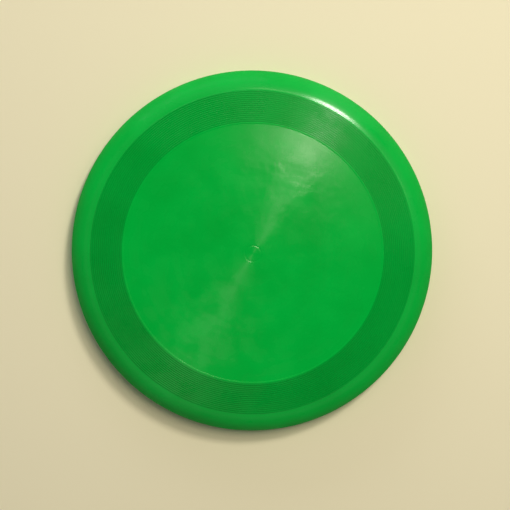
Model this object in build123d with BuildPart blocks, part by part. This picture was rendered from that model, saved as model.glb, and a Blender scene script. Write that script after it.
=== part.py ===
"""A flying disc in one injection moulding: flat plateau, ridged grip band, rounded shoulder and beaded rim.

Millimetres. +Z is up, away from the ground, and the origin is the centre of the foot that the disc rests on.
The whole disc is one turned section, with the marks of the mould's gate and ejector pins on its underside.
"""

import os
from math import cos, radians, sin, tan

from build123d import *

# Overall sizes
outer_diameter = 230.0
plateau_height = 27.0

# Grip band: one lower ridge round the plateau's edge, then equal ridges side by side down a slope
sloped_ridge_count = 16
ridge_pitch = 1.27
ridge_height = 0.16
edge_ridge_height = 0.09
band_slope = 12.0

# Shoulder: one conic curve from the band's last valley to the disc's widest line
shoulder_width = 13.35
shoulder_start_slope = 12.0
shoulder_fullness = 0.8
widest_height = 8.0

# Walls
plate_thickness = 1.8
rim_wall = 2.4

# Rim below the widest line, with a bead inside it for the fingers
outer_draft = 4.0
foot_outer_radius = 3.0
foot_inner_radius = 1.2
rim_base_width = 6.4
bead_height = 5.2
bead_rise = 2.6
bead_radius = 1.6
bead_root_radius = 2.2
straight_wall_above_bead = 3.0

# Marks on the underside: the gate's pad and nub, and the slightly raised prints of the ejector pins
gate_pad_diameter = 12.0
gate_pad_thickness = 0.6
gate_nub_diameter = 2.4
gate_nub_height = 0.8
ejector_count = 8
ejector_circle_diameter = 128.0
ejector_print_diameter = 7.0
ejector_print_height = 0.2

# Places that follow from the sizes above
outer_radius = outer_diameter / 2
slope = radians(band_slope)
shoulder_ratio = tan(radians(shoulder_start_slope))
band_length = sloped_ridge_count * ridge_pitch
band_start_radius = outer_radius - shoulder_width - band_length * cos(slope)
plateau_radius = band_start_radius - ridge_pitch
plate_underside = plateau_height - plate_thickness


def band_point(distance, rise):
    """A point of the section, at a distance down the band's slope and a rise off its valley line."""
    return (
        band_start_radius + distance * cos(slope) + rise * sin(slope),
        plateau_height - distance * sin(slope) + rise * cos(slope),
    )


def shoulder_corner(start, wall_radius):
    """Where the shoulder's first tangent meets the upright line of a wall at that radius."""
    return (wall_radius, start[1] - (wall_radius - start[0]) * shoulder_ratio)


# Points of the turned section, from the shoulder round the rim and back under the plate
outer_start = band_point(band_length, 0)
inner_start = band_point(band_length, -plate_thickness)
widest_point = (outer_radius, widest_height)
foot_outer_corner = (outer_radius - widest_height * tan(radians(outer_draft)), 0)
foot_inner_corner = (outer_radius - rim_base_width, 0)
bead_corner = (outer_radius - rim_base_width, bead_height)
inner_wall_radius = outer_radius - rim_wall
bead_root = (inner_wall_radius, bead_height + bead_rise)
wall_top = (inner_wall_radius, bead_root[1] + straight_wall_above_bead)
underside_corner = (band_start_radius - plate_thickness * tan(slope / 2), plate_underside)

# The roundings of the rim, by the corner that each one takes off
roundings = (
    (foot_outer_corner, foot_outer_radius),
    (foot_inner_corner, foot_inner_radius),
    (bead_corner, bead_radius),
    (bead_root, bead_root_radius),
)

with BuildPart() as disc:
    # The turned section: plateau, ridges, shoulder, rim, bead, inner wall and underside of the plate
    with BuildSketch(Plane.XZ) as section:
        with BuildLine() as outline:
            Line((0, plateau_height), (plateau_radius, plateau_height))
            ThreePointArc(
                (plateau_radius, plateau_height),
                (plateau_radius + ridge_pitch / 2, plateau_height + edge_ridge_height),
                band_point(0, 0),
            )
            for ridge in range(sloped_ridge_count):
                near = ridge * ridge_pitch
                ThreePointArc(
                    band_point(near, 0),
                    band_point(near + ridge_pitch / 2, ridge_height),
                    band_point(near + ridge_pitch, 0),
                )
            Bezier(
                outer_start,
                shoulder_corner(outer_start, outer_radius),
                widest_point,
                weights=[1, shoulder_fullness, 1],
            )
            Polyline(widest_point, foot_outer_corner, foot_inner_corner, bead_corner, bead_root, wall_top)
            Bezier(
                wall_top,
                shoulder_corner(inner_start, inner_wall_radius),
                inner_start,
                weights=[1, shoulder_fullness, 1],
            )
            Polyline(inner_start, underside_corner, (0, plate_underside), (0, plateau_height))
        make_face()
        for corner, radius in roundings:
            fillet(section.vertices().sort_by_distance((corner[0], corner[1], 0))[0], radius)
    revolve(axis=Axis.Z)

    # Gate pad and nub at the middle of the underside
    with BuildSketch(Plane.XY.offset(plate_underside - gate_pad_thickness)):
        Circle(gate_pad_diameter / 2)
    extrude(amount=gate_pad_thickness + plate_thickness / 2)
    with BuildSketch(Plane.XY.offset(plate_underside - gate_pad_thickness - gate_nub_height)):
        Circle(gate_nub_diameter / 2)
    extrude(amount=gate_nub_height + gate_pad_thickness)

    # Ejector prints in a ring on the underside
    with BuildSketch(Plane.XY.offset(plate_underside - ejector_print_height)):
        with PolarLocations(ejector_circle_diameter / 2, ejector_count):
            Circle(ejector_print_diameter / 2)
    extrude(amount=ejector_print_height + plate_thickness / 2)
disc.part.label = "disc"

os.makedirs("parts", exist_ok=True)
export_step(disc.part, "parts/disc.step")
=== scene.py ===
"""A throwing disc, one injection moulding in glossy green plastic, lying on its rim on a pale
floor.

Metres, in the frame of the part: +Z is up, and the origin is the centre of the foot that the disc
rests on.
"""

from math import asin, cos, pi, radians, sin, tan

import bpy
from mathutils import Matrix, Vector


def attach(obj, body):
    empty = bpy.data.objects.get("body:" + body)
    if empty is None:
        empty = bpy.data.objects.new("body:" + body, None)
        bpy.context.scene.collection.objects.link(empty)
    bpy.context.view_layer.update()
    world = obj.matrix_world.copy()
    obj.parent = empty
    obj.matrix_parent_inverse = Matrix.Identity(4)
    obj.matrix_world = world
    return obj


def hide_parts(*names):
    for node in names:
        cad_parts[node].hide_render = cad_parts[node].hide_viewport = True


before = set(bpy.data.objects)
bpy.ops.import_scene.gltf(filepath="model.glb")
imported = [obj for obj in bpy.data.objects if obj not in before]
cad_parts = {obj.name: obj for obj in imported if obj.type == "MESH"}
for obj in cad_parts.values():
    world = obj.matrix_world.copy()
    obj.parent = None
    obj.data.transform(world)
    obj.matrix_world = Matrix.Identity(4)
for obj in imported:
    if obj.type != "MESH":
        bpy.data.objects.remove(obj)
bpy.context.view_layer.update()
scene = bpy.context.scene

# ---------------------------------------------------------------------------------------------
# Camera: almost straight above the disc, leaning over its far edge by a few degrees, on a
# tripod at arm's length. It aims a little off the centre, so the disc sits slightly high.
# ---------------------------------------------------------------------------------------------
camera_distance = 0.75
camera_lean_x = radians(-1.2)
camera_lean_y = radians(3.3)
camera_aim = Vector((0.0016, -0.0020, 0.0080))
camera_lens = 82.88
camera_sensor = 36

camera_data = bpy.data.cameras.new("camera")
camera_data.lens = camera_lens
camera_data.sensor_width = camera_sensor
camera_data.clip_start = 0.05
camera_data.clip_end = 20
camera = bpy.data.objects.new("camera", camera_data)
scene.collection.objects.link(camera)
camera_back = Vector((tan(camera_lean_x), tan(camera_lean_y), 1)).normalized()
camera_right = Vector((0, 1, 0)).cross(camera_back).normalized()
camera_up = camera_back.cross(camera_right)
camera_turn = Matrix((camera_right, camera_up, camera_back)).transposed().to_4x4()
camera.matrix_world = Matrix.Translation(camera_aim + camera_distance * camera_back) @ camera_turn
scene.camera = camera

# ---------------------------------------------------------------------------------------------
# The disc: soft polyethylene in one piece, from a steel mould that was turned on a lathe. The
# section is drawn as the turner would, along the top, round the rim and back under the plate,
# and is then spun about the axis.
# ---------------------------------------------------------------------------------------------
outer_radius = 0.115
plateau_height = 0.027
plateau_rings = (0.008, 0.024, 0.040, 0.056, 0.0685)
plateau_edge_strip = 0.0002
sloped_ridge_count = 16
ridge_pitch = 0.00127
ridge_height = 0.00016
edge_ridge_height = 0.00009
ridge_steps = 8
band_slope = radians(12)
shoulder_width = 0.01335
shoulder_start_slope = radians(12)
shoulder_fullness = 0.8
outer_shoulder_steps = 30
inner_shoulder_steps = 18
widest_height = 0.008
plate_thickness = 0.0018
rim_wall = 0.0024
outer_draft = radians(4)
foot_outer_radius = 0.003
foot_inner_radius = 0.0012
rim_base_width = 0.0064
bead_height = 0.0052
bead_rise = 0.0026
bead_radius = 0.0016
bead_root_radius = 0.0022
straight_wall_above_bead = 0.003
spin_steps = 360
start_size = 0.002
weld_distance = 0.000002
crease_angle = radians(50)

band_length = sloped_ridge_count * ridge_pitch
band_start_radius = outer_radius - shoulder_width - band_length * cos(band_slope)
plateau_radius = band_start_radius - ridge_pitch


def band_point(distance, rise):
    """A point of the section, at a distance down the band's slope and a rise off its valleys."""
    return (
        band_start_radius + distance * cos(band_slope) + rise * sin(band_slope),
        plateau_height - distance * sin(band_slope) + rise * cos(band_slope),
    )


def ridge_arc(height):
    """The runs and rises of one ridge, an arc from valley to valley without its first point."""
    bow = (ridge_pitch**2 / 4 + height**2) / (2 * height)
    half_angle = asin(ridge_pitch / 2 / bow)
    points = []
    for n in range(1, ridge_steps + 1):
        a = half_angle * (2 * n / ridge_steps - 1)
        points.append((ridge_pitch / 2 + bow * sin(a), bow * (cos(a) - cos(half_angle))))
    return points


def shoulder(start, wall_radius, end, steps):
    """The conic curve from the band's edge down to an upright wall, both ends included."""
    corner = (wall_radius, start[1] - (wall_radius - start[0]) * tan(shoulder_start_slope))
    points = []
    for n in range(steps + 1):
        t = n / steps
        weights = ((1 - t) ** 2, 2 * shoulder_fullness * t * (1 - t), t**2)
        points.append(
            tuple(
                sum(w * p[i] for w, p in zip(weights, (start, corner, end))) / sum(weights)
                for i in (0, 1)
            )
        )
    return points


def rounded(before, corner, after, radius, steps):
    """The arc that rounds a corner of the section, from its first tangent point to its last."""
    c = Vector(corner)
    u = (Vector(before) - c).normalized()
    v = (Vector(after) - c).normalized()
    half = u.angle(v) / 2
    centre = c + (u + v).normalized() * radius / sin(half)
    first = c + u * radius / tan(half) - centre
    last = c + v * radius / tan(half) - centre
    turn = first.angle_signed(last)
    points = []
    for n in range(steps + 1):
        a = -turn * n / steps
        points.append(
            (
                centre.x + first.x * cos(a) - first.y * sin(a),
                centre.y + first.x * sin(a) + first.y * cos(a),
            )
        )
    return points


# The section's points, from the top of the axis out over the plateau, the ridges and the shoulder
section = [(run, plateau_height) for run in (0, *plateau_rings)]
section.append((plateau_radius - plateau_edge_strip, plateau_height))
section.append((plateau_radius, plateau_height))
for run, rise in ridge_arc(edge_ridge_height):
    section.append((plateau_radius + run, plateau_height + rise))
for ridge in range(sloped_ridge_count):
    for run, rise in ridge_arc(ridge_height):
        section.append(band_point(ridge * ridge_pitch + run, rise))
band_end = band_point(band_length, 0)
widest = (outer_radius, widest_height)
section += shoulder(band_end, outer_radius, widest, outer_shoulder_steps)[1:]

# Down the rim, round its foot, over the bead and up the inner wall
foot_outer = (outer_radius - widest_height * tan(outer_draft), 0)
foot_inner = (outer_radius - rim_base_width, 0)
bead_corner = (outer_radius - rim_base_width, bead_height)
inner_radius = outer_radius - rim_wall
bead_root = (inner_radius, bead_height + bead_rise)
wall_top = (inner_radius, bead_root[1] + straight_wall_above_bead)
section += rounded(widest, foot_outer, foot_inner, foot_outer_radius, steps=10)
section += rounded(foot_outer, foot_inner, bead_corner, foot_inner_radius, steps=6)
section += rounded(foot_inner, bead_corner, bead_root, bead_radius, steps=8)
section += rounded(bead_corner, bead_root, wall_top, bead_root_radius, steps=8)

# Back under the shoulder, the band and the plate to the axis
inner_start = band_point(band_length, -plate_thickness)
section += reversed(shoulder(inner_start, inner_radius, wall_top, inner_shoulder_steps))
underside = plateau_height - plate_thickness
section.append((band_start_radius - plate_thickness * tan(band_slope / 2), underside))
section.append((0, underside))

# The section is drawn from one point, edge by edge, and spun: a small plane is merged to be that
# point, and the rings are welded where they close and at the axis
bpy.ops.object.select_all(action="DESELECT")
bpy.ops.mesh.primitive_plane_add(size=start_size, location=(0, 0, plateau_height))
disc = bpy.context.object
disc.name = "disc_moulding"
bpy.ops.object.transform_apply(location=True, rotation=True, scale=True)
bpy.ops.object.mode_set(mode="EDIT")
bpy.ops.mesh.select_all(action="SELECT")
bpy.ops.mesh.merge(type="CENTER")
for here, there in zip(section, section[1:]):
    step = (there[0] - here[0], 0, there[1] - here[1])
    bpy.ops.mesh.extrude_region_move(TRANSFORM_OT_translate={"value": step})
bpy.ops.mesh.select_all(action="SELECT")
bpy.ops.mesh.spin(steps=spin_steps, angle=2 * pi, center=(0, 0, 0), axis=(0, 0, 1))
bpy.ops.mesh.select_all(action="SELECT")
bpy.ops.mesh.remove_doubles(threshold=weld_distance)
bpy.ops.mesh.normals_make_consistent(inside=False)
bpy.ops.object.mode_set(mode="OBJECT")
bpy.ops.object.shade_smooth_by_angle(angle=crease_angle)

# The plastic: a saturated green, glossy, with the lathe's turning marks from the mould, faint
# waves where the plate cooled unevenly, and a cloudy change of sheen from handling
plastic = bpy.data.materials.new("green_polyethylene")
plastic.use_nodes = True
nodes = plastic.node_tree.nodes
links = plastic.node_tree.links
shader = nodes["Principled BSDF"]
shader.inputs["Specular IOR Level"].default_value = 0.12
shader.inputs["Anisotropic"].default_value = 0.95
shader.inputs["Anisotropic Rotation"].default_value = 0.25
shader.inputs["Coat Roughness"].default_value = 0.16
shader.inputs["Coat IOR"].default_value = 1.60


def node(kind, **settings):
    """A new node of the plastic's material, with its settings made."""
    n = nodes.new(kind)
    for key, value in settings.items():
        setattr(n, key, value)
    return n


def calc(operation, first, second=0):
    """A Math node on two inputs, each a socket or a number."""
    n = node("ShaderNodeMath", operation=operation)
    for socket, value in zip(n.inputs, (first, second)):
        if hasattr(value, "is_output"):
            links.new(value, socket)
        else:
            socket.default_value = value
    return n.outputs["Value"]


def noise(dimensions, vector_or_w, scale, detail):
    """A Noise texture's value, on a vector, or on one number when its dimensions are 1D."""
    n = node("ShaderNodeTexNoise", noise_dimensions=dimensions)
    n.inputs["Scale"].default_value = scale
    n.inputs["Detail"].default_value = detail
    links.new(vector_or_w, n.inputs["W" if dimensions == "1D" else "Vector"])
    return n.outputs["Fac"]


def remap(value, low, high, new_low, new_high):
    """A value moved from one range to another, held at its ends."""
    n = node("ShaderNodeMapRange")
    links.new(value, n.inputs["Value"])
    n.inputs["From Min"].default_value = low
    n.inputs["From Max"].default_value = high
    n.inputs["To Min"].default_value = new_low
    n.inputs["To Max"].default_value = new_high
    return n.outputs["Result"]


def bump(height, depth, under=None):
    """A Bump node's normal, for a height pattern of that depth, laid over another bump's normal."""
    n = node("ShaderNodeBump")
    n.inputs["Distance"].default_value = depth
    links.new(height, n.inputs["Height"])
    if under is not None:
        links.new(under, n.inputs["Normal"])
    return n.outputs["Normal"]


# The mirror streak follows the turning marks, which run round the axis
tangent = node("ShaderNodeTangent", direction_type="RADIAL", axis="Z")
links.new(tangent.outputs["Tangent"], shader.inputs["Tangent"])

# Where a point lies: its place, its distance from the axis, and whether it faces down
coordinates = node("ShaderNodeTexCoord")
place = coordinates.outputs["Object"]
flat_place = node("ShaderNodeVectorMath", operation="MULTIPLY")
flat_place.inputs[1].default_value = (1, 1, 0)
links.new(place, flat_place.inputs[0])
reach = node("ShaderNodeVectorMath", operation="LENGTH")
links.new(flat_place.outputs["Vector"], reach.inputs[0])
radius = reach.outputs["Value"]
facing = node("ShaderNodeSeparateXYZ")
links.new(coordinates.outputs["Normal"], facing.inputs["Vector"])
underneath = remap(facing.outputs["Z"], -0.10, 0.0, 1, 0)
top_side = calc("SUBTRACT", 1, underneath)
crest_start = outer_radius - shoulder_width

# Colour: pigment that flowed unevenly, by some ten percent
deep_green = (0.0, 0.402, 0.041, 1)
fresh_green = (0.0, 0.454, 0.050, 1)
flow = noise("3D", place, scale=35, detail=3)
colour = node("ShaderNodeMix", data_type="RGBA")
colour.inputs["A"].default_value = deep_green
colour.inputs["B"].default_value = fresh_green
links.new(remap(flow, 0.3, 0.7, 0, 1), colour.inputs["Factor"])

# Painted shade: the ridged band's colour is darkened, most in its valleys, for the light lost
# between the flanks
valley_shade = 0.64
crest_shade = 0.84
ridges_per_metre = 1 / (ridge_pitch * cos(band_slope))
along_band = calc("MULTIPLY", calc("SUBTRACT", radius, band_start_radius), ridges_per_metre)
from_valley = calc("PINGPONG", along_band, 0.5)
ridge_shade = remap(from_valley, 0.0, 0.5, valley_shade, crest_shade)
on_plateau = calc("LESS_THAN", radius, band_start_radius - ridge_pitch / 10)
past_band = calc("GREATER_THAN", radius, crest_start)
off_band = calc("MAXIMUM", calc("MAXIMUM", on_plateau, past_band), underneath)
# painted shade: the green is multiplied down over the ridged band, but not on the plateau, the rim
# or the underside
painted_band_shade = node("ShaderNodeMix", data_type="RGBA", blend_type="MULTIPLY")
painted_band_shade.inputs["Factor"].default_value = 1
links.new(colour.outputs["Result"], painted_band_shade.inputs["A"])
links.new(calc("MAXIMUM", ridge_shade, off_band), painted_band_shade.inputs["B"])
links.new(painted_band_shade.outputs["Result"], shader.inputs["Base Color"])

# Polish: the skin shines softly on the plate, hardly on the ridges, and is burnished on the crest
# of the shoulder, where hands and the ground slide along it
plate_polish = 0.30
band_polish = 0.04
crest_polish = 0.5
rim_share = 0.08
edge_blend = 0.0002
crest_fade_start = crest_start + 0.0028
crest_fade_end = crest_start + 0.0050
past_plateau = remap(radius, plateau_radius, plateau_radius + edge_blend, 0, 1)
ridged = calc("MULTIPLY", past_plateau, top_side)
crest_rise = remap(radius, crest_start - edge_blend, crest_start + edge_blend, 0, crest_polish)
crest_fade = remap(radius, crest_fade_start, crest_fade_end, 1, rim_share)
burnished = calc("MULTIPLY", calc("MULTIPLY", crest_rise, crest_fade), top_side)
skin = remap(ridged, 0, 1, plate_polish, band_polish)
links.new(calc("MAXIMUM", burnished, skin), shader.inputs["Coat Weight"])

# Sheen: patches a centimetre or two across, bands where the turning tool changed its bite, and
# a duller skin on the gripped ridges and down the scuffed side of the rim
glossiest = 0.18
dullest = 0.42
scuff_start = outer_radius - 0.009
scuff_end = outer_radius - 0.004
patches = remap(noise("3D", place, scale=75, detail=2), 0.38, 0.62, 0, 1)
bands = remap(noise("1D", radius, scale=160, detail=1), 0.35, 0.65, 0.4, 1)
sheen = calc("MULTIPLY", patches, bands)
scuffed = calc("MULTIPLY", remap(radius, scuff_start, scuff_end, 0, 0.3), top_side)
gripped = calc("MULTIPLY", ridged, 0.08)
dulled = calc("MAXIMUM", scuffed, gripped)
roughness = calc("ADD", remap(sheen, 0, 1, glossiest, dullest), dulled)
links.new(roughness, shader.inputs["Roughness"])

# Relief: slow waves of the plate, and dimples where it shrank unevenly, which die out towards
# the stiffer band. Both patterns are shifted, so that another stretch of them falls on the plate.
wave_depth = 0.00012
dimple_depth = 0.00022
stiff_start = plateau_radius - 0.025
stiff_end = plateau_radius - 0.005
shifted = node("ShaderNodeVectorMath", operation="ADD")
shifted.inputs[1].default_value = (0.61, 0.91, 0.17)
links.new(place, shifted.inputs[0])
waves = noise("3D", shifted.outputs["Vector"], scale=22, detail=1)
softness = remap(radius, stiff_start, stiff_end, 1, 0.15)
dimples = calc("MULTIPLY", noise("3D", shifted.outputs["Vector"], scale=80, detail=2), softness)

# Finer relief: a sink ring over the gate pad, orange peel, and the fine rings of the turning tool
sink_ring_radius = 0.0050
sink_ring_width = 0.0007
sink_ring_depth = 0.00008
peel_depth = 0.0000025
turning_depth = 0.0000015
off_sink_ring = calc("ABSOLUTE", calc("SUBTRACT", radius, sink_ring_radius))
sink_ring = remap(off_sink_ring, 0, sink_ring_width, 0, 1)
orange_peel = noise("3D", place, scale=420, detail=2)
turning_rings = noise("1D", radius, scale=1500, detail=2)

relief = bump(waves, wave_depth)
relief = bump(dimples, dimple_depth, relief)
relief = bump(sink_ring, sink_ring_depth, relief)
relief = bump(orange_peel, peel_depth, relief)
relief = bump(turning_rings, turning_depth, relief)
links.new(relief, shader.inputs["Normal"])
links.new(relief, shader.inputs["Coat Normal"])
disc.data.materials.append(plastic)

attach(disc, "root")
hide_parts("disc")

# ---------------------------------------------------------------------------------------------
# Gate mark under the middle: the cold slug pad where the plastic entered the mould, and the nub
# that was left when the sprue was twisted off. Both are one with the plate.
# ---------------------------------------------------------------------------------------------
gate_pad_radius = 0.006
gate_pad_thickness = 0.0006
gate_pad_rounding = 0.0002
gate_nub_radius = 0.0012
gate_nub_height = 0.0008
gate_nub_rounding = 0.00025
sunk_into_plate = 0.0004


def island(name, x, y, island_radius, stands_out, edge_rounding, sides, edge_steps):
    """A low round island rooted in the plate's underside, with its lower edge rounded."""
    bpy.ops.object.select_all(action="DESELECT")
    tall = stands_out + sunk_into_plate
    middle = (x, y, underside - stands_out + tall / 2)
    bpy.ops.mesh.primitive_cylinder_add(
        vertices=sides, radius=island_radius, depth=tall, location=middle
    )
    mark = bpy.context.object
    mark.name = name
    bpy.ops.object.transform_apply(location=True, rotation=True, scale=True)
    rounding = mark.modifiers.new("edge_rounding", "BEVEL")
    rounding.width = edge_rounding
    rounding.segments = edge_steps
    rounding.limit_method = "ANGLE"
    bpy.ops.object.modifier_apply(modifier=rounding.name)
    bpy.ops.object.shade_smooth_by_angle(angle=crease_angle)
    mark.data.materials.append(plastic)
    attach(mark, "root")


gate_pad = (gate_pad_radius, gate_pad_thickness, gate_pad_rounding)
gate_nub = (gate_nub_radius, gate_pad_thickness + gate_nub_height, gate_nub_rounding)
island("gate_pad", 0, 0, *gate_pad, sides=64, edge_steps=3)
island("gate_nub", 0, 0, *gate_nub, sides=64, edge_steps=3)

# ---------------------------------------------------------------------------------------------
# Ejector prints: eight low round islands in a ring under the plate, where the mould's pins stood
# a hair short of the steel. They are one with the plate.
# ---------------------------------------------------------------------------------------------
ejector_count = 8
ejector_circle_radius = 0.064
ejector_print_radius = 0.0035
ejector_print_height = 0.0002
ejector_print_rounding = 0.00006

ejector_print = (ejector_print_radius, ejector_print_height, ejector_print_rounding)
for n in range(ejector_count):
    a = 2 * pi * n / ejector_count
    x, y = ejector_circle_radius * cos(a), ejector_circle_radius * sin(a)
    island(f"ejector_print_{n + 1}", x, y, *ejector_print, sides=48, edge_steps=2)

# ---------------------------------------------------------------------------------------------
# Studio: a pale floor, a square key from the upper right, a broad cool panel low beside it, like
# a window, and a warm ceiling panel with a tube light, which the plateau mirrors as a haze and a
# streak.
# ---------------------------------------------------------------------------------------------
floor_size = 8
cream = (0.88, 0.80, 0.58, 1)

bpy.ops.object.select_all(action="DESELECT")
bpy.ops.mesh.primitive_plane_add(size=floor_size, location=(0, 0, 0))
floor = bpy.context.object
floor.name = "floor"
floor_paint = bpy.data.materials.new("pale_floor")
floor_paint.use_nodes = True
floor_shader = floor_paint.node_tree.nodes["Principled BSDF"]
floor_shader.inputs["Base Color"].default_value = cream
floor_shader.inputs["Roughness"].default_value = 0.7
floor_shader.inputs["Specular IOR Level"].default_value = 0.2
floor.data.materials.append(floor_paint)

daylight = (0.82, 0.92, 1.0)
sunlight = (1.0, 0.97, 0.88)
lamplight = (1.0, 0.94, 0.74)
panel_aim = Vector((0, 0, 0.02))


def panel(name, azimuth, polar, distance, width, depth, radiance, colour):
    """A rectangular light, at an azimuth from +X and a polar angle from +Z, in degrees."""
    light = bpy.data.lights.new(name, "AREA")
    light.shape = "RECTANGLE"
    light.size = width
    light.size_y = depth
    light.energy = radiance * pi * width * depth
    light.color = colour
    lamp = bpy.data.objects.new(name, light)
    a, p = radians(azimuth), radians(polar)
    direction = Vector((sin(p) * cos(a), sin(p) * sin(a), cos(p)))
    lamp.location = panel_aim + distance * direction
    lamp.rotation_euler = direction.to_track_quat("Z", "Y").to_euler()
    scene.collection.objects.link(lamp)


panel("key", 57, 41, 2.4, width=0.38, depth=0.38, radiance=49.5, colour=sunlight)
panel("window_glow", 108, 77, 1.8, width=1.6, depth=0.7, radiance=3.1, colour=daylight)
panel("ceiling_glow", 51, 26, 1.0, width=0.84, depth=0.40, radiance=2.4, colour=lamplight)
panel("tube_light", 51, 19, 1.0, width=0.07, depth=0.40, radiance=22.0, colour=lamplight)

# The room: dark above, where the camera hangs, and brighter towards the walls
world = bpy.data.worlds.new("studio")
world.use_nodes = True
room_nodes = world.node_tree.nodes
room_links = world.node_tree.links
direction = room_nodes.new("ShaderNodeTexCoord").outputs["Generated"]
height = room_nodes.new("ShaderNodeSeparateXYZ")
room_links.new(direction, height.inputs["Vector"])
room = room_nodes.new("ShaderNodeValToRGB")
horizon, overhead = room.color_ramp.elements
horizon.position = 0.0
horizon.color = (0.23, 0.23, 0.23, 1)
overhead.position = 0.97
overhead.color = (0.01, 0.01, 0.01, 1)
upper_wall = room.color_ramp.elements.new(0.6)
upper_wall.color = (0.25, 0.25, 0.25, 1)
room_links.new(height.outputs["Z"], room.inputs["Fac"])
room_links.new(room.outputs["Color"], room_nodes["Background"].inputs["Color"])
scene.world = world
scene.view_settings.view_transform = "Standard"
